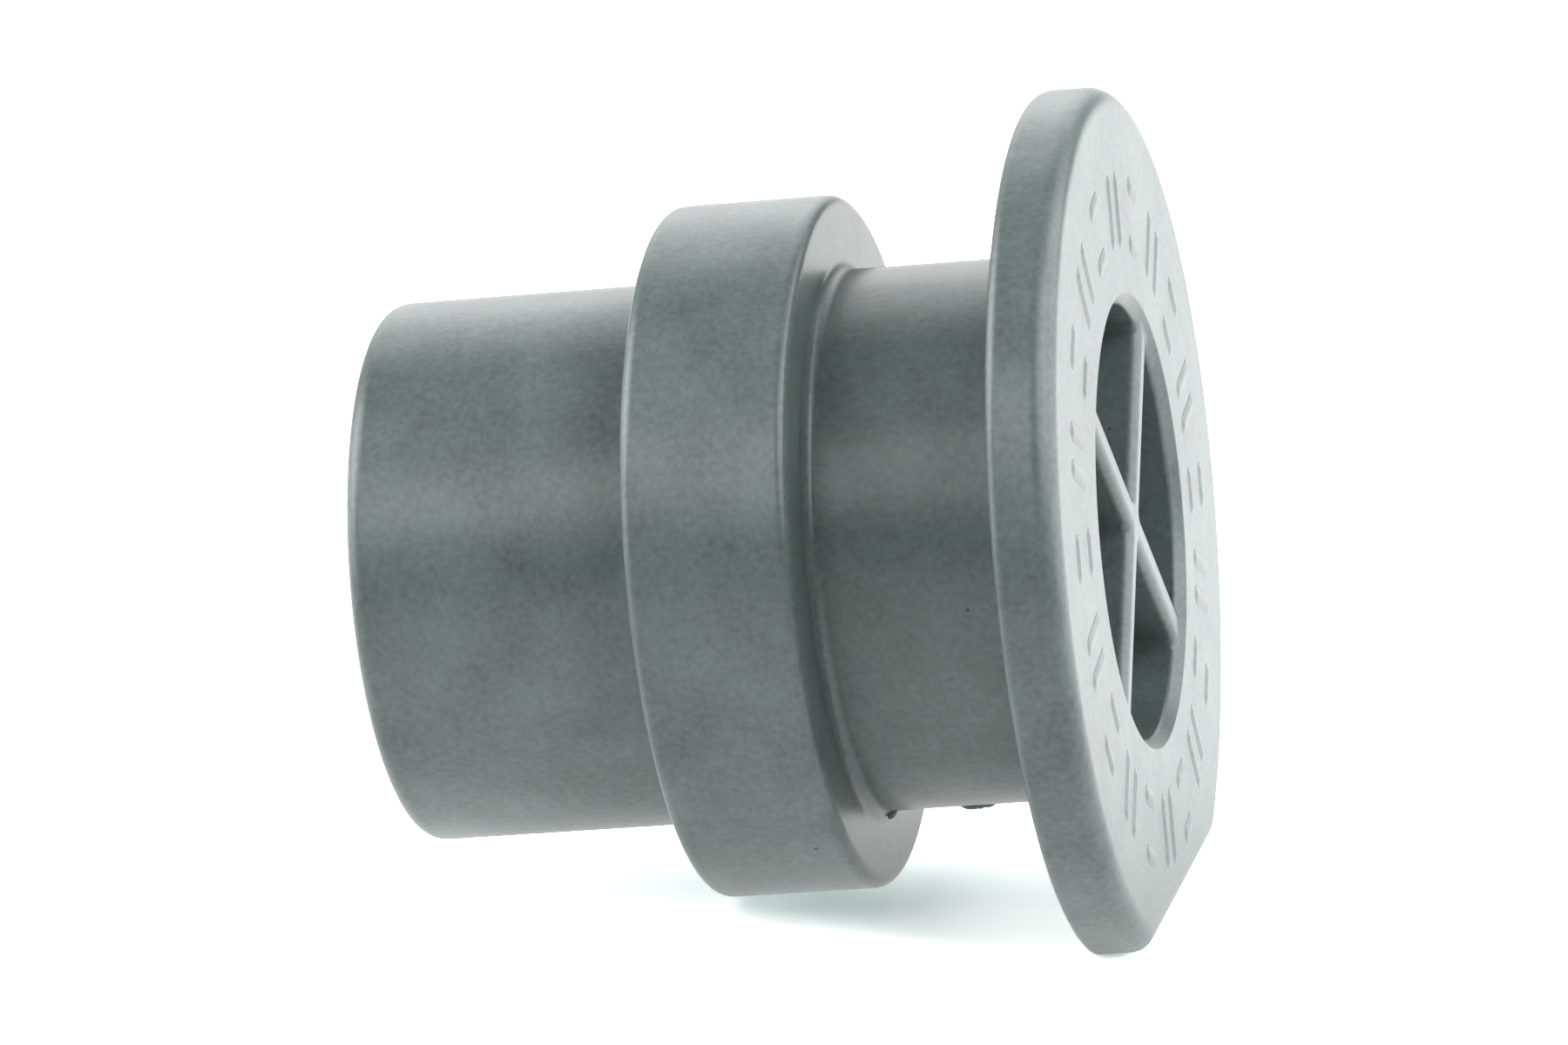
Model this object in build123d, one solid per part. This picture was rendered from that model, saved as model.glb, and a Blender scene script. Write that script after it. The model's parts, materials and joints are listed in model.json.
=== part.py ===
from build123d import *
import os

# Pipe end plug, injection moulded in one piece, lying along X with its flange towards +X.
# The origin is on the axis, in the plane of the shoulder that the end of the pipe seats against.

# Driving dimensions in millimetres, and the ribs' turn in degrees
tube_diameter = 20.0
wall = 2.0
spigot_length = 11.0
tip_round = 0.65
collar_step = 2.8
collar_length = 6.2
collar_chamfer = 0.3
neck_length = 7.9
neck_root_fillet = 0.4
flange_step = 6.0
flange_thickness = 2.5
flange_back_chamfer = 0.35
flange_front_chamfer = 0.6
flat_depth = 1.65
flat_corner_round = 1.5
end_wall = 2.0
mouth_chamfer = 0.4
rib_thickness = 1.2
rib_set_back = 0.2
rib_root_fillet = 0.4
rib_turn = 45.0

# Radii that follow from the tube
tube_radius = tube_diameter / 2
bore_radius = tube_radius - wall
collar_radius = tube_radius + collar_step
flange_radius = tube_radius + flange_step

# Stations along the axis
tip = -spigot_length
collar_end = collar_length
flange_back = collar_end + neck_length
flange_face = flange_back + flange_thickness


def corner(face, station, radius):
    """The corner of a half section at this station and this distance from the axis"""
    return face.vertices().sort_by_distance((station, 0, radius))[0]


def turned_body():
    """Spigot, collar and neck: a half section in the XZ plane, carried round the axis"""
    section = Plane.XZ * make_face(
        Polyline(
            (tip, 0),
            (tip, tube_radius),
            (0, tube_radius),
            (0, collar_radius),
            (collar_end, collar_radius),
            (collar_end, tube_radius),
            (flange_face, tube_radius),
            (flange_face, 0),
            close=True,
        )
    )
    section = fillet(corner(section, tip, tube_radius), tip_round)
    section = chamfer(corner(section, 0, collar_radius), collar_chamfer)
    section = chamfer(corner(section, collar_end, collar_radius), collar_chamfer)
    section = fillet(corner(section, collar_end, tube_radius), neck_root_fillet)
    return revolve(section, Axis.X)


def flange():
    """Round plate with one flat on its underside, its corners rounded and both rims chamfered"""
    across = 2 * flange_radius
    below_flat = Pos(0, -across + flat_depth) * Rectangle(across, across)
    outline = Circle(flange_radius) - below_flat
    outline = fillet(outline.vertices(), flat_corner_round)
    plate = extrude(face_plane * outline, -flange_thickness)
    back_rim = plate.edges().filter_by(face_plane).group_by(Axis.X)[0]
    plate = chamfer(back_rim, flange_back_chamfer)
    front_rim = plate.edges().filter_by(face_plane).group_by(Axis.X)[-1]
    return chamfer(front_rim, flange_front_chamfer)


def core():
    """The four pockets that the mould's core leaves between the ribs, closed by the end wall"""
    rib = Rectangle(3 * bore_radius, rib_thickness)
    pockets = Circle(bore_radius) - Rot(0, 0, rib_turn) * rib - Rot(0, 0, rib_turn + 90) * rib
    pockets = fillet(pockets.vertices(), rib_root_fillet)
    depth = flange_face - tip - end_wall
    return extrude(face_plane * pockets, -depth)


def mouth():
    """The shallow recess that sets the ribs back from the face, and the chamfer round its rim"""
    section = Plane.XZ * make_face(
        Polyline(
            (flange_face, 0),
            (flange_face, bore_radius + mouth_chamfer),
            (flange_face - mouth_chamfer, bore_radius),
            (flange_face - rib_set_back, bore_radius),
            (flange_face - rib_set_back, 0),
            close=True,
        )
    )
    return revolve(section, Axis.X)


# Sketches on the flange face have Y to the right and Z up, seen from outside
face_plane = Plane((flange_face, 0, 0), x_dir=(0, 1, 0), z_dir=(1, 0, 0))

plug_body = turned_body() + flange()
plug_body -= core()
plug_body -= mouth()

os.makedirs("parts", exist_ok=True)
export_step(plug_body, "parts/plug_body.step")
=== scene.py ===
# %% [markdown]
# A pipe end plug is one injection moulding in dark grey plastic: a spigot with a rounded tip, a collar,
# a neck and a flange with one flat on its edge. The bore is open at the flange and stiffened by two
# crossed ribs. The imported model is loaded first, and every size that it states is read from it, so the
# surfaces below fit it. Sizes that it doesn't state, such as the bore, are written where they are first
# needed.

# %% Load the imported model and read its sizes
import json
import math

import bmesh
import bpy
import numpy as np
from mathutils import Matrix, Vector


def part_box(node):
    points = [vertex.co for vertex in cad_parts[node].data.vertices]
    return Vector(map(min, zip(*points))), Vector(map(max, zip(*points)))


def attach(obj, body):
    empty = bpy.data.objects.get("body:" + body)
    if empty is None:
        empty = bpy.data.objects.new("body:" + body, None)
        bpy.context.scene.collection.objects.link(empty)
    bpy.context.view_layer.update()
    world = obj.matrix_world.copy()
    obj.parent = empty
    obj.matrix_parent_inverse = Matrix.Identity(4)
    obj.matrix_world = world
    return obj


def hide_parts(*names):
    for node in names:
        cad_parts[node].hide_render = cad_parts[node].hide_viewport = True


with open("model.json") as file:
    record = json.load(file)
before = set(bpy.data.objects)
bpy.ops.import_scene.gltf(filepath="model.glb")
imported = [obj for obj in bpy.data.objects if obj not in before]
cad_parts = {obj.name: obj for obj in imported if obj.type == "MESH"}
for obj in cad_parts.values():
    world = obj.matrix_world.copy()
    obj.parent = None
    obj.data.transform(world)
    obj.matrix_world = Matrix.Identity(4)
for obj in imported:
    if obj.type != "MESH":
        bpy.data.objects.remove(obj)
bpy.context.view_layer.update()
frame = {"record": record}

mm = 0.001
mounts = {mount["name"]: mount for mount in frame["record"]["mounts"]}
lowest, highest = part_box("plug_body")

tip = lowest.x
tube_radius = mounts["spigot"]["dims"]["r_mm"] * mm
collar_radius = mounts["collar"]["dims"]["r_mm"] * mm
# The collar begins in the origin's plane, and its mount is at its middle
collar_end = 2 * mounts["collar"]["pos_m"][0]
flange_back = mounts["flange_back"]["pos_m"][0]
flange_face = mounts["flange_face"]["pos_m"][0]
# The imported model's facets fall a few thousandths of a millimetre short of the round flange
flange_radius = round(highest.y, 4)
flat_distance = -mounts["flange_flat"]["pos_m"][2]
radii = {"tube": tube_radius, "collar": collar_radius, "flange": flange_radius}
print("radii in mm:", {name: round(radius / mm, 1) for name, radius in radii.items()})

# %% [markdown]
# A moulding has no sharp edges: each corner of the half section is a small arc, and those arcs catch the
# light as thin bright lines. The half section is therefore written as a few corners with a radius each,
# and one function turns them into points. A short step beside every arc keeps the shading of the flat
# runs flat.

# %% Rounded half section
long_step = 1.2 * mm
edge_step = 0.05 * mm
widest_margin = 0.2
arc_steps = 8


def run_points(start, end):
    """Points from start to just before end on a straight run: start + t (end - start), with t closest
    together at the two ends and about one long step apart between them."""
    length = np.linalg.norm(end - start)
    margin = min(edge_step / length, widest_margin)
    inner = np.linspace(margin, 1 - margin, max(2, math.ceil(length / long_step)))
    t = np.concatenate([[0.0], inner])[:, None]
    return start + t * (end - start)


def corner_arc(before, corner, after, radius):
    """Points on the arc that rounds a corner: centre + radius (cos a, sin a), where the arc starts and
    ends at radius tan(turn / 2) from the corner, on the runs before and after it."""
    arriving = (corner - before) / np.linalg.norm(corner - before)
    leaving = (after - corner) / np.linalg.norm(after - corner)
    turn = math.atan2(arriving[0] * leaving[1] - arriving[1] * leaving[0], arriving @ leaving)
    start = corner - arriving * radius * math.tan(abs(turn) / 2)
    side = np.array([-arriving[1], arriving[0]]) * math.copysign(1, turn)
    centre = start + side * radius
    angles = np.linspace(0, turn, arc_steps + 1)
    spoke = start - centre
    turned_x = spoke[0] * np.cos(angles) - spoke[1] * np.sin(angles)
    turned_y = spoke[0] * np.sin(angles) + spoke[1] * np.cos(angles)
    return centre + np.stack([turned_x, turned_y], axis=1)


def rounded_section(corners):
    """A half section as rows of (station, distance from the axis): straight runs joined by the corners'
    arcs. Each corner is (station, distance, radius), and a radius of zero is an end of the section."""
    places = np.array([corner[:2] for corner in corners])
    pieces = []
    leave = places[0]
    for k in range(1, len(corners) - 1):
        arc = corner_arc(places[k - 1], places[k], places[k + 1], corners[k][2])
        pieces += [run_points(leave, arc[0]), arc[:-1]]
        leave = arc[-1]
    pieces += [run_points(leave, places[-1]), places[-1:]]
    return np.concatenate(pieces)


tip_round = 0.65 * mm
shoulder_root = 0.15 * mm
collar_round = 0.45 * mm
neck_root = 0.45 * mm
flange_root = 0.3 * mm
back_rim_round = 0.42 * mm
front_rim_round = 0.85 * mm
mouth_round = 0.1 * mm
bore_radius = 8.0 * mm
mouth_chamfer = 0.4 * mm
rib_set_back = 0.2 * mm
rib_front = flange_face - rib_set_back
rib_front_radius = bore_radius + mouth_chamfer - rib_set_back

section = rounded_section([
    (tip, 0.0, 0.0),
    (tip, tube_radius, tip_round),
    (0.0, tube_radius, shoulder_root),
    (0.0, collar_radius, collar_round),
    (collar_end, collar_radius, collar_round),
    (collar_end, tube_radius, neck_root),
    (flange_back, tube_radius, flange_root),
    (flange_back, flange_radius, back_rim_round),
    (flange_face, flange_radius, front_rim_round),
    (flange_face, bore_radius + mouth_chamfer, mouth_round),
    (rib_front, rib_front_radius, 0.0),
])
print(f"half section of {len(section)} points")

# %% [markdown]
# Each of the four pockets between the ribs is a quarter of the bore with rounded corners. Its outline is
# worked out in the two ribs' own directions, u and v, and one function gives it for any rib thickness
# and wall radius, so the same function makes the softened rib edges, the chamfer and the straight wall
# below them.

# %% Outline of a pocket between two ribs
rib_half = 0.6 * mm
rib_edge = 0.40 * mm
pocket_corner = 0.4 * mm
wall_steps = 112
corner_steps = 6
side_steps = 12


def arc_points(centre, radius, start, end, steps):
    """Points centre + radius (cos a, sin a), with a from start to end in equal steps."""
    a = np.linspace(start, end, steps + 1)
    return np.stack([centre[0] + radius * np.cos(a), centre[1] + radius * np.sin(a)], axis=1)


def wall_reach(half, wall):
    """How far along a rib the corner's centre lies, and the angle at which the wall's arc begins
    there."""
    reach = math.sqrt((wall - pocket_corner) ** 2 - (half + pocket_corner) ** 2)
    return reach, math.atan2(half + pocket_corner, reach)


def half_outline(half, wall):
    """One side of a pocket, from the middle of its inner corner to the start of the wall's arc: half the
    inner corner's arc, a straight run beside the rib at v = half, and the outer corner's arc."""
    inner = half + pocket_corner
    reach, begins = wall_reach(half, wall)
    inner_arc = arc_points((inner, inner), pocket_corner, -0.75 * math.pi, -0.5 * math.pi, corner_steps)
    outer_arc = arc_points((reach, inner), pocket_corner, -0.5 * math.pi, begins, corner_steps)
    side = np.stack([np.linspace(inner, reach, side_steps + 1), np.full(side_steps + 1, half)], axis=1)
    return np.concatenate([inner_arc[:-1], side[:-1], outer_arc])


def pocket_outline(half, wall):
    """The closed outline: one side outwards, the wall's arc, and the mirrored side back inwards."""
    side = half_outline(half, wall)
    begins = wall_reach(half, wall)[1]
    wall_arc = arc_points((0, 0), wall, begins, 0.5 * math.pi - begins, wall_steps)
    return np.concatenate([side[:-1], wall_arc[:-1], side[::-1, ::-1][:-1]])


def turned(points, quarter):
    """Points of (u, v) as (y, z), with the pocket of this quarter turn on its own side of the axis. Its
    middle is at quarter times 90 degrees from +Z, and u runs 45 degrees before it."""
    turn = math.radians(90 * quarter - 45)
    distance = np.hypot(points[..., 0], points[..., 1])
    angle = turn + np.arctan2(points[..., 1], points[..., 0])
    return np.stack([distance * np.sin(angle), distance * np.cos(angle)], axis=-1)


top_half = rib_half - rib_edge
wall_begins = wall_reach(top_half, rib_front_radius)[1]
print(f"pocket outline of {len(pocket_outline(top_half, rib_front_radius))} points")

# %% [markdown]
# The outer skin is the half section carried round the axis, one ring of points per row. Its columns are
# spaced so that the last ring, inside the mouth, meets the pockets' walls and the rib ends point for
# point. On the flange the rings change from circles to the outline with the flat, which is an arc, a
# chord and two rounded corners.

# %% Outer skin
rib_steps = 16
flat_corner = 1.5 * mm
round_until = 11.0 * mm
rim_margin = 1.0 * mm
station_slack = edge_step / 10
tiny = 1e-9


def column_angles():
    """Angles from +Z towards +Y: for each quarter, the wall's arc of its pocket and then the end of one
    rib."""
    eighth = math.pi / 4
    wall_part = np.linspace(-eighth + wall_begins, eighth - wall_begins, wall_steps + 1)
    rib_part = np.linspace(eighth - wall_begins, eighth + wall_begins, rib_steps + 1)[1:-1]
    one = np.concatenate([wall_part, rib_part])
    return (one[None, :] + np.arange(4)[:, None] * math.pi / 2).ravel()


def flange_outline(angles):
    """Places and outward normals of the flange's outline, as (y, z): the flange radius all round, the
    chord where a ray from the axis meets it first, and between them an arc that touches both."""
    ray = np.stack([np.sin(angles), np.cos(angles)], axis=1)
    centre_z = flat_corner - flat_distance
    centre_y = math.sqrt((flange_radius - flat_corner) ** 2 - centre_z ** 2)
    centres = np.stack([np.copysign(centre_y, ray[:, 0]), np.full(len(angles), centre_z)], axis=1)
    along = (ray * centres).sum(axis=1)
    miss = (centres ** 2).sum(axis=1) - flat_corner ** 2
    corner_distance = along + np.sqrt(np.maximum(along ** 2 - miss, 0))
    downwards = np.maximum(-ray[:, 1], tiny)
    to_chord = flat_distance / downwards
    on_chord = (ray[:, 1] < 0) & (np.abs(ray[:, 0]) * to_chord <= centre_y)
    sideways = np.abs(ray[:, 0]) / downwards
    on_corner = (ray[:, 1] < 0) & ~on_chord & (sideways < centre_y / -centre_z)
    distance = np.select([on_chord, on_corner], [to_chord, corner_distance], flange_radius)
    places = ray * distance[:, None]
    corner_normal = (places - centres) / flat_corner
    chord_normal = np.array([[0.0, -1.0]])
    normals = np.select([on_chord[:, None], on_corner[:, None]], [chord_normal, corner_normal], ray)
    return places, normals


def skin_rings(rows, angles):
    """One ring for each row of the half section. A ring is a circle, except on the flange: near the rim
    it is the outline moved inwards, and on the flat faces it changes evenly from a circle to that
    outline."""
    station, distance = rows[:, 0], rows[:, 1]
    ray = np.stack([np.sin(angles), np.cos(angles)], axis=1)
    places, normals = flange_outline(angles)
    on_flange = station > flange_back - station_slack
    margin = flange_radius - rim_margin
    changed = np.clip((distance - round_until) / (margin - round_until), 0, 1)
    share = np.where(on_flange, changed, 0)[:, None, None]
    inset = places - np.clip(flange_radius - distance, 0, rim_margin)[:, None, None] * normals
    reach = np.where(on_flange, np.minimum(distance, round_until), distance)
    ring = (1 - share) * reach[:, None, None] * ray + share * inset
    along = np.broadcast_to(station[:, None, None], ring.shape[:2] + (1,))
    return np.concatenate([along, ring], axis=2)


angles = column_angles()
skin = skin_rings(section, angles)
print(f"skin of {skin.shape[0]} rings with {skin.shape[1]} points each")

# %% [markdown]
# Inside the mouth there are three more surfaces: the walls and floor of the four pockets, the flat
# fronts of the four rib arms, and the small square where the arms cross. All of them start from the same
# pocket outline.

# %% Pockets and rib fronts
end_wall = 2.0 * mm
pocket_floor = tip + end_wall
wall_rows = 12
edge_rows = 7
first_wall_row = 1.0 * mm
floor_shares = np.array([0.02, 0.4, 0.7, 1.0])
crossing_shares = np.array([1.0, 0.5, 0.0])


def at_station(points, station):
    """Points of (y, z) as (x, y, z) at one station along the axis."""
    return np.concatenate([np.full(points.shape[:-1] + (1,), station), points], axis=-1)


def pocket_rings(quarter):
    """Rings down a pocket: the rib's softened edge as a quarter circle while the chamfer narrows the
    wall, then the straight wall, then the floor, which closes on the middle of its outline."""
    bend = np.linspace(0, math.pi / 2, edge_rows)
    depths = np.concatenate([
        rib_edge * (1 - np.cos(bend)),
        [rib_edge + edge_step],
        np.linspace(first_wall_row, rib_front - pocket_floor - edge_step, wall_rows),
        [rib_front - pocket_floor],
    ])
    halves = np.full(len(depths), rib_half)
    halves[:edge_rows] -= rib_edge * (1 - np.sin(bend))
    walls = np.maximum(rib_front_radius - depths, bore_radius)
    rings = [
        at_station(turned(pocket_outline(half, wall), quarter), rib_front - depth)
        for half, wall, depth in zip(halves, walls, depths)
    ]
    edge = rings[-1]
    middle = edge.mean(axis=0)
    return np.stack(rings + [edge + share * (middle - edge) for share in floor_shares])


def rib_arm(quarter):
    """The front of one rib arm: straight lines across it from one pocket's side to the next pocket's
    side, and a last line that follows the mouth's circle."""
    side = half_outline(top_half, rib_front_radius)
    near = turned(side[:, ::-1], quarter)
    far = turned(side, quarter + 1)
    t = np.linspace(0, 1, rib_steps + 1)[None, :, None]
    lines = near[:, None, :] * (1 - t) + far[:, None, :] * t
    spread = math.radians(90 * quarter + 45) + np.linspace(-wall_begins, wall_begins, rib_steps + 1)
    lines[-1] = rib_front_radius * np.stack([np.sin(spread), np.cos(spread)], axis=1)
    return at_station(lines, rib_front)


def rib_crossing(arms):
    """The square where the arms meet: the arms' first lines, end to end, drawn in to the axis."""
    edge = np.concatenate([arm[0, :-1] for arm in arms])
    axis_point = np.array([rib_front, 0.0, 0.0])
    return axis_point + crossing_shares[:, None, None] * (edge - axis_point)


pockets = [pocket_rings(quarter) for quarter in range(4)]
arms = [rib_arm(quarter) for quarter in range(4)]
crossing = rib_crossing(arms)
print(f"{len(pockets)} pockets, {len(arms)} rib arms")

# %% [markdown]
# The grids go into one mesh. Points that two grids share are merged, which also closes the pole at the
# tip, and the faces are turned outwards. The result is a closed body, so its volume can be measured and
# printed.

# %% Put grids into a mesh
merge_distance = 0.002 * mm


def grid_quads(rows, columns, closed, first):
    """Corner numbers of a grid's faces: (i, j), (i, j + 1), (i + 1, j + 1), (i + 1, j), round the
    columns if the grid is closed."""
    numbers = first + np.arange(rows * columns).reshape(rows, columns)
    beside = np.roll(numbers, -1, axis=1)
    quads = np.stack([numbers[:-1], beside[:-1], beside[1:], numbers[1:]], axis=-1)
    return (quads if closed else quads[:, :-1]).reshape(-1, 4)


def mesh_piece(name, grids):
    """A mesh object made of grids, each (points, closed), with shared points merged and faces turned
    outwards."""
    points, quads, count = [], [], 0
    for grid, closed in grids:
        points.append(grid.reshape(-1, 3))
        quads.append(grid_quads(grid.shape[0], grid.shape[1], closed, count))
        count += len(points[-1])
    points, quads = np.concatenate(points), np.concatenate(quads)
    mesh = bpy.data.meshes.new(name)
    mesh.vertices.add(len(points))
    mesh.vertices.foreach_set("co", points.astype(np.float32).ravel())
    mesh.loops.add(quads.size)
    mesh.loops.foreach_set("vertex_index", quads.astype(np.int32).ravel())
    mesh.polygons.add(len(quads))
    mesh.polygons.foreach_set("loop_start", np.arange(0, quads.size, 4, dtype=np.int32))
    mesh.update(calc_edges=True)
    work = bmesh.new()
    work.from_mesh(mesh)
    bmesh.ops.remove_doubles(work, verts=work.verts, dist=merge_distance)
    bmesh.ops.recalc_face_normals(work, faces=work.faces)
    open_edges = sum(1 for edge in work.edges if not edge.is_manifold)
    volume = work.calc_volume() / mm ** 3
    work.to_mesh(mesh)
    work.free()
    mesh.polygons.foreach_set("use_smooth", np.ones(len(mesh.polygons), bool))
    piece = bpy.data.objects.new(name, mesh)
    bpy.context.scene.collection.objects.link(piece)
    print(f"{name}: {len(mesh.polygons)} faces, {open_edges} open edges, {volume:.0f} cubic mm")
    return piece


plug_shell = mesh_piece(
    "plug_shell",
    [(skin, True), (crossing, True)]
    + [(pocket, True) for pocket in pockets]
    + [(arm, False) for arm in arms],
)
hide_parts("plug_body")
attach(plug_shell, "root")

# %% [markdown]
# The collar and the flange hold the plug in its mould, so the mould must open sideways, in two halves.
# They leave a fine seam along the plug on two opposite sides, and where the halves did not quite close,
# a little plastic has squeezed out: a nub beside the collar and a thin tongue, in two patches that
# overlap, further along the neck. The seam is a bead with a rounded top, laid along each straight part
# and sunk slightly into the skin.

# %% Parting seam with flash
seam_turns = (math.radians(194.0), math.radians(14.0))
seam_width = 0.20 * mm
seam_height = 0.015 * mm
seam_sunk = 0.06 * mm
seam_step = 0.06 * mm
gap_at_tip = 0.7 * mm
gap_at_shoulder = 0.2 * mm
gap_at_collar = 0.05 * mm
gap_at_flange = 0.4 * mm
seam_runs = [
    # start, end, distance from the axis
    (tip + gap_at_tip, -gap_at_shoulder, tube_radius),
    (collar_round, collar_end - collar_round, collar_radius),
    (collar_end + gap_at_collar, flange_back - gap_at_flange, tube_radius),
]
flash_patches = [
    # station, half length, height
    (6.38 * mm, 0.32 * mm, 0.30 * mm),
    (9.50 * mm, 0.45 * mm, 0.15 * mm),
    (10.05 * mm, 0.35 * mm, 0.11 * mm),
]
bead_steps = 12


def bead_height(station):
    """Height of the bead: even, plus for each patch of flash a steep-sided hill, its rise times the
    square root of 1 - d^2 times 1 - d^4, where d is the distance from the patch's middle in half
    lengths."""
    height = np.full(len(station), seam_height)
    for middle, half_length, rise in flash_patches:
        d = np.clip(np.abs(station - middle) / half_length, 0, 1)
        height += rise * np.sqrt(1 - d ** 2) * (1 - d ** 4)
    return height


def seam_bead(turn, start, end, radius, with_flash):
    """A closed bead along the axis: round it, points at half width times cos a sideways and height times
    sin a outwards, or sunk below the skin where sin a is negative, drawn together at both ends."""
    station = np.linspace(start, end, round((end - start) / seam_step))
    a = np.linspace(0, 2 * math.pi, bead_steps, endpoint=False)
    height = bead_height(station) if with_flash else np.full(len(station), seam_height)
    lift = np.where(np.sin(a) > 0, height[:, None], seam_sunk) * np.sin(a)
    width = np.full(len(station), seam_width / 2)
    width[[0, -1]] = 0
    lift[[0, -1]] = -seam_sunk / 2
    distance = radius + lift
    sideways = width[:, None] * np.cos(a)
    x = np.broadcast_to(station[:, None], distance.shape)
    y = distance * math.sin(turn) + sideways * math.cos(turn)
    z = distance * math.cos(turn) - sideways * math.sin(turn)
    return np.stack([x, y, z], axis=2)


seam_has_flash = (True, False)
parting_seam = mesh_piece("parting_seam", [
    (seam_bead(turn, *run, with_flash), True)
    for turn, with_flash in zip(seam_turns, seam_has_flash)
    for run in seam_runs
])
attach(parting_seam, "root")

# %% [markdown]
# The flange's face carries a ring of raised moulded marks. Here they are plain bars with no meaning,
# which were cut into the mould's face. Each bar is a rounded pad: its outline is a straight line grown
# by half its width, and the rows of its mesh are the same outline, drawn in as they rise over the soft
# edge.

# %% Raised marks on the flange face
mark_height = 0.06 * mm
mark_soft = 0.33 * mm
mark_sunk = 0.05 * mm
mark_width = 0.75 * mm
mark_groups = 20
group_bars = [
    # radius, sideways, length in millimetres, turned across the radius
    (11.4, -0.70, 2.80, False),
    (11.4, 0.70, 2.80, False),
    (10.3, 0.0, 1.80, True),
    (12.5, 0.0, 1.80, True),
]
cap_steps = 8
climb_rows = 6


def mark_bars():
    """Middle, direction and length of every bar, as arrays: two upright bars, then two level ones, by
    turns."""
    turns = (np.arange(mark_groups) + 0.5) * 2 * math.pi / mark_groups
    middles, directions, lengths = [], [], []
    for kind, (radius, sideways, length, across) in enumerate(group_bars):
        chosen = turns[kind // 2::2]
        out = np.stack([np.sin(chosen), np.cos(chosen)], axis=1)
        side = np.stack([np.cos(chosen), -np.sin(chosen)], axis=1)
        middles.append((radius * out + sideways * side) * mm)
        directions.append(side if across else out)
        lengths.append(np.full(len(chosen), length * mm))
    return np.concatenate(middles), np.concatenate(directions), np.concatenate(lengths)


def pad_grids():
    """Rings of every pad: from a line under the face, out to the outline, up a soft slope 3 t^2 - 2 t^3,
    and in to a line on top."""
    middles, directions, lengths = mark_bars()
    half_turn = np.linspace(-math.pi / 2, math.pi / 2, cap_steps + 1)
    a = np.concatenate([half_turn, half_turn + math.pi])
    end = np.where(np.arange(len(a)) <= cap_steps, 1.0, -1.0)
    climb = np.linspace(0, 1, climb_rows)
    half = mark_width / 2
    spread = np.concatenate([[0, half], half - mark_soft * climb, [0]])
    slope = mark_height * climb ** 2 * (3 - 2 * climb)
    rise = np.concatenate([[-mark_sunk, -mark_sunk], slope, [mark_height]])
    along = (lengths[:, None] - mark_width)[:, :, None] / 2 * end + (spread[:, None] * np.cos(a))[None]
    across = np.broadcast_to((spread[:, None] * np.sin(a))[None], along.shape)
    sides = np.stack([directions[:, 1], -directions[:, 0]], axis=1)
    flat = (
        middles[:, None, None, :] + along[..., None] * directions[:, None, None, :]
        + across[..., None] * sides[:, None, None, :]
    )
    station = np.broadcast_to((flange_face + rise)[None, :, None, None], flat.shape[:3] + (1,))
    return np.concatenate([station, flat], axis=3)


raised_marks = mesh_piece("raised_marks", [(pad, True) for pad in pad_grids()])
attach(raised_marks, "root")

# %% [markdown]
# The floor is the plane that the plug settles on. Lying down, it touches the floor with the edge of the
# flange's flat and with the lower edge of the collar, so its axis slopes down a little towards the tip.
# The slope is found from the mesh: of all lines that stay under its side view, it is the one that is
# highest below the middle.

# %% Floor under the resting plug
floor_reach = 3.0
steepest = 0.3
slope_tries = 3001


def resting_line(piece):
    """Slope and height of the highest line z = height + slope x that stays under the piece's side view,
    measured at the middle of its length: height = min(z - slope x) for each slope tried."""
    places = np.empty(len(piece.data.vertices) * 3, np.float32)
    piece.data.vertices.foreach_get("co", places)
    places = places.reshape(-1, 3).astype(float)
    below = places[places[:, 2] < -tube_radius]
    slopes = np.linspace(-steepest, steepest, slope_tries)
    heights = (below[:, 2][None, :] - slopes[:, None] * below[:, 0][None, :]).min(axis=1)
    middle = (tip + flange_face) / 2
    best = np.argmax(heights + slopes * middle)
    return slopes[best], heights[best]


floor_slope, floor_height = resting_line(plug_shell)
along_floor = np.array([[1.0, 0.0, floor_slope]]) / math.hypot(1, floor_slope)
across_floor = np.array([[0.0, 1.0, 0.0]])
floor_middle = np.array([[0.0, 0.0, floor_height]])
floor_sides = np.array([[-1, -1], [1, -1], [1, 1], [-1, 1]]) * floor_reach
floor_corners = floor_middle + floor_sides[:, :1] * along_floor + floor_sides[:, 1:] * across_floor
floor_mesh = bpy.data.meshes.new("floor")
floor_mesh.from_pydata(floor_corners.tolist(), [], [(0, 1, 2, 3)])
floor = bpy.data.objects.new("floor", floor_mesh)
bpy.context.scene.collection.objects.link(floor)
print(f"the plug rests {math.degrees(math.atan(-floor_slope)):.1f} degrees off level")

# %% [markdown]
# The camera stands a little above the floor, on the flange's side, with a long lens. Its place was found
# from the outlines in the photograph: where it stands round the plug, how high, how far, and which way
# is up.

# %% Camera
camera_azimuth = math.radians(13.06)
camera_elevation = math.radians(14.07)
camera_roll = math.radians(-7.30)
camera_distance = 383.1 * mm
aim_from_face = Vector((-12.785, -2.49, 1.543)) * mm
aim_point = Vector((flange_face, 0, 0)) + aim_from_face
lens_in_mm = 240.0
sensor_in_mm = 36.0
nearest_seen = 0.01
furthest_seen = 20.0

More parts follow.
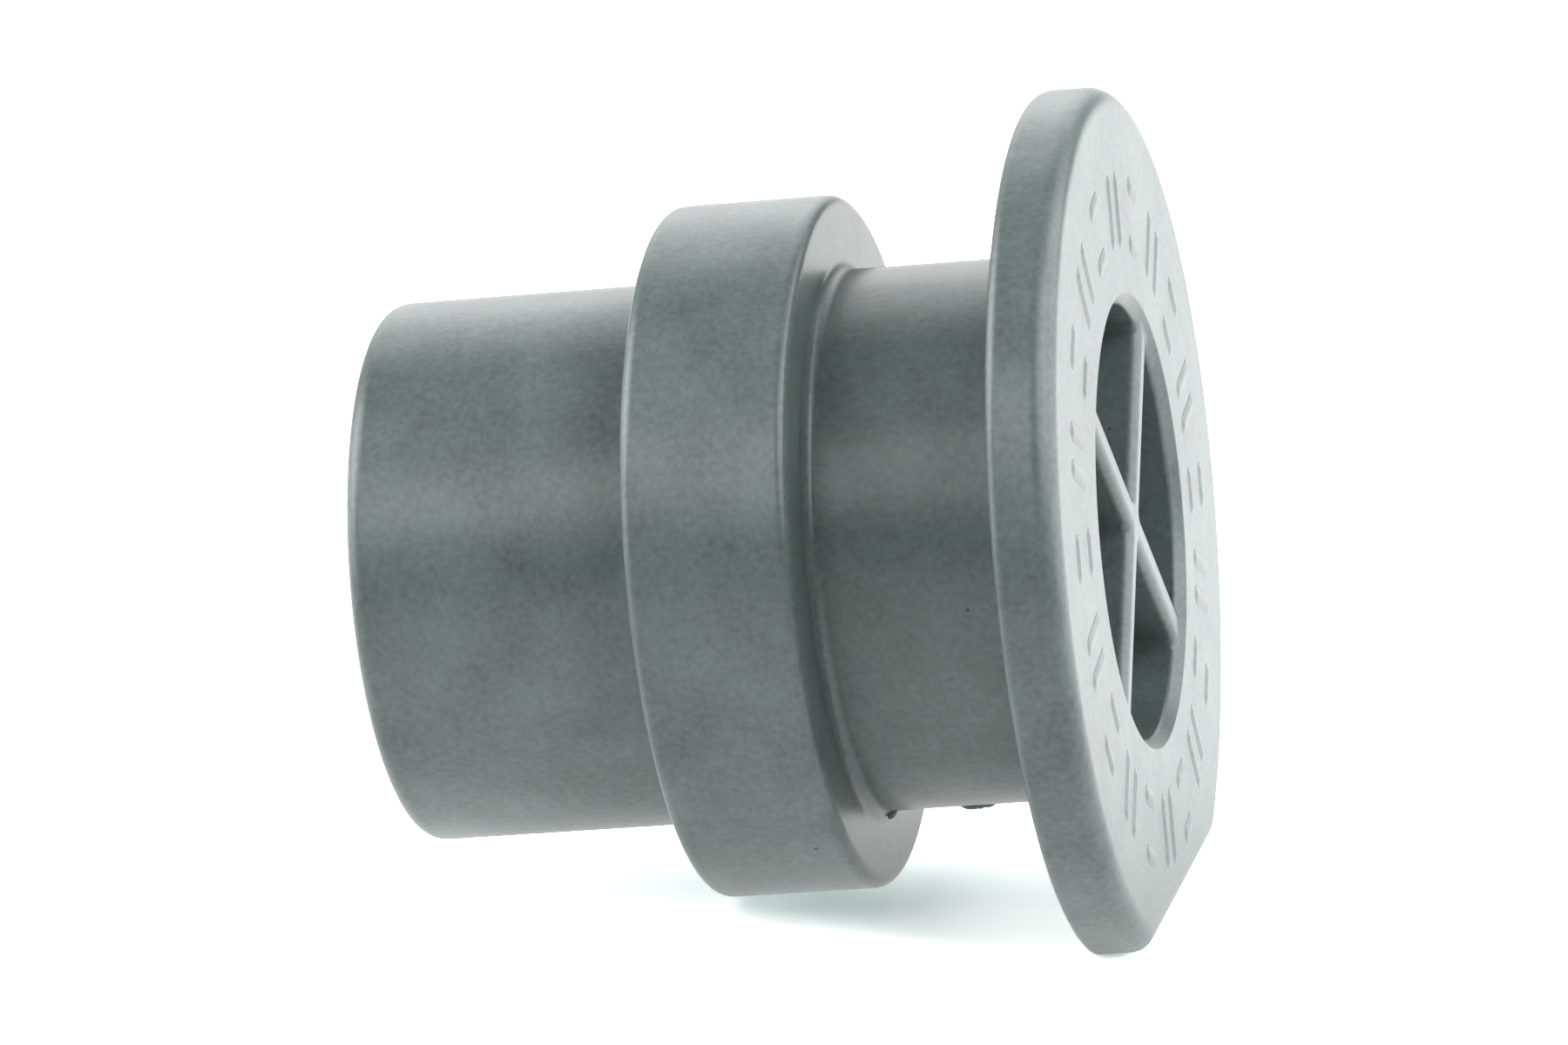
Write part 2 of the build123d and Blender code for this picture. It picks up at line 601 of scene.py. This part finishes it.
camera_data = bpy.data.cameras.new("camera")
camera_data.lens = lens_in_mm
camera_data.sensor_width = sensor_in_mm
camera_data.clip_start = nearest_seen
camera_data.clip_end = furthest_seen
camera = bpy.data.objects.new("camera", camera_data)
bpy.context.scene.collection.objects.link(camera)
towards_camera = Vector((
    math.sin(camera_azimuth) * math.cos(camera_elevation),
    -math.cos(camera_azimuth) * math.cos(camera_elevation),
    math.sin(camera_elevation),
))
camera.rotation_mode = "QUATERNION"
camera.location = aim_point + towards_camera * camera_distance
level = (-towards_camera).to_track_quat("-Z", "Y")
camera.rotation_quaternion = level @ Matrix.Rotation(camera_roll, 3, "Z").to_quaternion()
bpy.context.scene.camera = camera
print("camera at", [round(value / mm) for value in camera.location])

# %% [markdown]
# The plastic is dyed through and comes out of a finely textured mould, so its shine is soft and slightly
# grainy. A shader node group gives the texture as plain values: a fine height, a slow change of tone,
# and a few dark specks of dust. They are all read from the object's own coordinates, so they stay fixed
# to the part.

# %% Values for the plastic
grain_scale = 4000.0
grain_detail = 1.5
grain_roughness = 0.5
mottle_scale = 330.0
mottle_detail = 4.0
mottle_roughness = 0.55
speck_scale = 260.0
speck_radius = 0.028
speck_share = 0.12
grain_height = 0.006 * mm
grain_in_tone = 0.8
tone_spread = 0.40
lone_speck = Vector((4.98, -9.05, -9.06)) * mm
lone_speck_radius = 0.09 * mm
dark_plastic = (0.071, 0.092, 0.088, 1.0)
pale_plastic = (0.144, 0.188, 0.178, 1.0)
speck_colour = (0.030, 0.033, 0.031, 1.0)


def add_node(tree, kind, inputs=None, **settings):
    """One shader node with its settings, and its inputs given as values or as other nodes' outputs."""
    made = tree.nodes.new(kind)
    for name, value in settings.items():
        setattr(made, name, value)
    for name, value in (inputs or {}).items():
        if isinstance(value, bpy.types.NodeSocket):
            tree.links.new(value, made.inputs[name])
        else:
            made.inputs[name].default_value = value
    return made


def plastic_texture():
    """A node group that turns a place into the height of the grain, the slow tone and the specks, each 0
    to 1."""
    group = bpy.data.node_groups.new("moulded_plastic", "ShaderNodeTree")
    group.interface.new_socket("Place", in_out="INPUT", socket_type="NodeSocketVector")
    for name in ("Height", "Tone", "Speck"):
        group.interface.new_socket(name, in_out="OUTPUT", socket_type="NodeSocketFloat")
    place = group.nodes.new("NodeGroupInput").outputs["Place"]
    out = group.nodes.new("NodeGroupOutput")
    grain = add_node(group, "ShaderNodeTexNoise", {
        "Vector": place, "Scale": grain_scale, "Detail": grain_detail, "Roughness": grain_roughness,
    })
    mottle = add_node(group, "ShaderNodeTexNoise", {
        "Vector": place, "Scale": mottle_scale, "Detail": mottle_detail, "Roughness": mottle_roughness,
    })
    cells = add_node(group, "ShaderNodeTexVoronoi", {"Vector": place, "Scale": speck_scale})
    distance = cells.outputs["Distance"]
    near = add_node(group, "ShaderNodeMath", {0: distance, 1: speck_radius}, operation="LESS_THAN")
    chance = add_node(group, "ShaderNodeSeparateColor", {"Color": cells.outputs["Color"]})
    picked = add_node(group, "ShaderNodeMath", {0: chance.outputs[0], 1: speck_share}, operation="LESS_THAN")
    dust = add_node(group, "ShaderNodeMath", {
        0: near.outputs[0], 1: picked.outputs[0],
    }, operation="MULTIPLY")
    gap = add_node(group, "ShaderNodeVectorMath", {0: place, 1: lone_speck}, operation="DISTANCE")
    lone = add_node(group, "ShaderNodeMath", {
        0: gap.outputs["Value"], 1: lone_speck_radius,
    }, operation="LESS_THAN")
    speck = add_node(group, "ShaderNodeMath", {0: dust.outputs[0], 1: lone.outputs[0]}, operation="MAXIMUM")
    group.links.new(grain.outputs[0], out.inputs["Height"])
    group.links.new(mottle.outputs[0], out.inputs["Tone"])
    group.links.new(speck.outputs[0], out.inputs["Speck"])
    return group


texture_group = plastic_texture()
print(f"texture group with {len(texture_group.nodes)} nodes")

# %% [markdown]
# The material mixes two greys by the slow tone with a good part of the fine grain added, darkens the
# specks, and lets the fine height tilt the shading a little. A roughness of about a third gives the
# wide, soft reflections of an untreated moulding. A Mix node's sockets share their names, so they are
# picked here by number.

# %% Grey plastic
shine_roughness = 0.32
shine_index = 1.58
mix_factor = 0
mix_value_a, mix_value_b = 2, 3
mix_colour_a, mix_colour_b = 6, 7
mixed_colour = 2


def grey_plastic():
    """The material: base colour from tone and specks, normal from the grain, one Principled shader."""
    material = bpy.data.materials.new("grey_plastic")
    material.use_nodes = True
    tree = material.node_tree
    tree.nodes.clear()
    place = add_node(tree, "ShaderNodeTexCoord").outputs["Object"]
    texture = add_node(tree, "ShaderNodeGroup", node_tree=texture_group)
    tree.links.new(place, texture.inputs["Place"])
    mixed = add_node(tree, "ShaderNodeMath", {
        0: texture.outputs["Height"], 1: grain_in_tone, 2: texture.outputs["Tone"],
    }, operation="MULTIPLY_ADD")
    tone_middle = (1 + grain_in_tone) / 2
    spread = add_node(tree, "ShaderNodeMapRange", {
        "Value": mixed.outputs[0],
        "From Min": tone_middle - tone_spread,
        "From Max": tone_middle + tone_spread,
    })
    tone = add_node(tree, "ShaderNodeMix", {
        mix_factor: spread.outputs[0], mix_colour_a: dark_plastic, mix_colour_b: pale_plastic,
    }, data_type="RGBA")
    colour = add_node(tree, "ShaderNodeMix", {
        mix_factor: texture.outputs["Speck"],
        mix_colour_a: tone.outputs[mixed_colour],
        mix_colour_b: speck_colour,
    }, data_type="RGBA")
    bump = add_node(tree, "ShaderNodeBump", {
        "Height": texture.outputs["Height"], "Distance": grain_height, "Strength": 1.0,
    })
    surface = add_node(tree, "ShaderNodeBsdfPrincipled", {
        "Base Color": colour.outputs[mixed_colour],
        "Roughness": shine_roughness,
        "IOR": shine_index,
        "Normal": bump.outputs[0],
    })
    add_node(tree, "ShaderNodeOutputMaterial", {"Surface": surface.outputs[0]})
    return material


plastic = grey_plastic()
for piece in (plug_shell, parting_seam, raised_marks):
    piece.data.materials.append(plastic)
    print("material on", piece.name)

# %% [markdown]
# The plug lies on a white sheet in a light tent. Lamps could stand for the tent's bright panels, but the
# world can hold all of them by direction, with soft edges and no distance to choose. There are panels
# behind the plug, on its right and on its left, some of them high up, and none straight in front. The
# camera itself sees plain white in their place.

# %% World
tent_panels = [
    # direction of the panel, dot products at which it begins and is full, brightness
    ((-0.22, 0.95, 0.10), 0.80, 0.97, 0.70),
    ((-0.10, 0.80, 0.55), 0.80, 0.97, 1.66),
    ((0.90, 0.30, 0.30), 0.74, 0.95, 3.0),
    ((0.72, -0.35, 0.60), 0.88, 0.95, 3.1),
    ((0.50, 0.00, 0.87), 0.92, 0.97, 0.6),
    ((-0.95, 0.00, 0.25), 0.70, 0.97, 2.5),
    ((-0.70, -0.10, 0.70), 0.88, 0.96, 3.8),
]
seen_white = 1.0


def tent_share(tree, direction, towards, start, end):
    """How far a direction looks towards a panel: smooth from 0 to 1 as their dot product rises."""
    panel = Vector(towards).normalized()
    dot = add_node(tree, "ShaderNodeVectorMath", {0: direction, 1: panel}, operation="DOT_PRODUCT")
    return add_node(tree, "ShaderNodeMapRange", {
        "Value": dot.outputs["Value"], "From Min": start, "From Max": end,
    }, interpolation_type="SMOOTHSTEP").outputs[0]


world = bpy.data.worlds.new("light_tent")
bpy.context.scene.world = world
world.use_nodes = True
tree = world.node_tree
tree.nodes.clear()
direction = add_node(tree, "ShaderNodeTexCoord").outputs["Generated"]
light = 0.0
for towards, start, end, brightness in tent_panels:
    share = tent_share(tree, direction, towards, start, end)
    added = add_node(tree, "ShaderNodeMath", {0: share, 1: brightness, 2: light}, operation="MULTIPLY_ADD")
    light = added.outputs[0]
paths = add_node(tree, "ShaderNodeLightPath")
strength = add_node(tree, "ShaderNodeMix", {
    mix_factor: paths.outputs["Is Camera Ray"], mix_value_a: light, mix_value_b: seen_white,
})
background = add_node(tree, "ShaderNodeBackground", {"Color": (1, 1, 1, 1), "Strength": strength.outputs[0]})
add_node(tree, "ShaderNodeOutputWorld", {"Surface": background.outputs[0]})
print(f"world with {len(tent_panels)} panels")

# %% [markdown]
# On the camera's side there is one soft light, a square of even brightness. Its power follows from the
# brightness wanted: a square of area A that is L bright gives pi times A times L watts.

# %% Soft light in front
front_direction = (-0.22, -0.72, 0.66)
front_distance = 0.5
front_side = 0.25
front_brightness = 2.3


def soft_light(name, direction, distance, side, brightness):
    """A square area light that faces the origin from this direction."""
    data = bpy.data.lights.new(name, "AREA")
    data.size = side
    data.energy = math.pi * side ** 2 * brightness
    light = bpy.data.objects.new(name, data)
    bpy.context.scene.collection.objects.link(light)
    towards = Vector(direction).normalized()
    light.rotation_mode = "QUATERNION"
    light.location = towards * distance
    light.rotation_quaternion = (-towards).to_track_quat("-Z", "Y")
    light.visible_camera = False


soft_light("front_light", front_direction, front_distance, front_side, front_brightness)
print(f"front light of {math.pi * front_side ** 2 * front_brightness:.2f} watts")

# %% [markdown]
# The sheet under the plug is brightest towards the back, and it lights the plug from below. It could be
# made white with more lamps, but those would also fall on the plug. So the camera sees the sheet as more
# than white, which lets it fade into the background and keeps the shadow. All other rays meet a pale
# matt surface whose glow rises along Y, from a little in front of the plug to a little behind it.

# %% Floor sheet
floor_seen = 3.6
floor_white = 0.6
glow_back = 1.25
glow_from = -0.050
glow_to = 0.030

sheet = bpy.data.materials.new("white_sheet")
sheet.use_nodes = True
tree = sheet.node_tree
tree.nodes.clear()
seen = add_node(tree, "ShaderNodeLightPath").outputs["Is Camera Ray"]
white = add_node(tree, "ShaderNodeMix", {
    mix_factor: seen, mix_value_a: floor_white, mix_value_b: floor_seen,
})
matt = add_node(tree, "ShaderNodeBsdfDiffuse", {"Color": white.outputs[0]})
place = add_node(tree, "ShaderNodeSeparateXYZ", {0: add_node(tree, "ShaderNodeTexCoord").outputs["Object"]})
glow_by_place = add_node(tree, "ShaderNodeMapRange", {
    "Value": place.outputs["Y"], "From Min": glow_from, "From Max": glow_to, "To Max": glow_back,
}, interpolation_type="SMOOTHSTEP")
glow_strength = add_node(tree, "ShaderNodeMix", {
    mix_factor: seen, mix_value_a: glow_by_place.outputs[0], mix_value_b: 0.0,
})
glow = add_node(tree, "ShaderNodeEmission", {"Strength": glow_strength.outputs[0]})
both = add_node(tree, "ShaderNodeAddShader", {0: matt.outputs[0], 1: glow.outputs[0]})
add_node(tree, "ShaderNodeOutputMaterial", {"Surface": both.outputs[0]})
floor.data.materials.append(sheet)
print("material on", floor.name)

# %% [markdown]
# The Standard view shows a colour as it is written, with no film curve over it.

# %% Standard view
bpy.context.scene.view_settings.view_transform = "Standard"
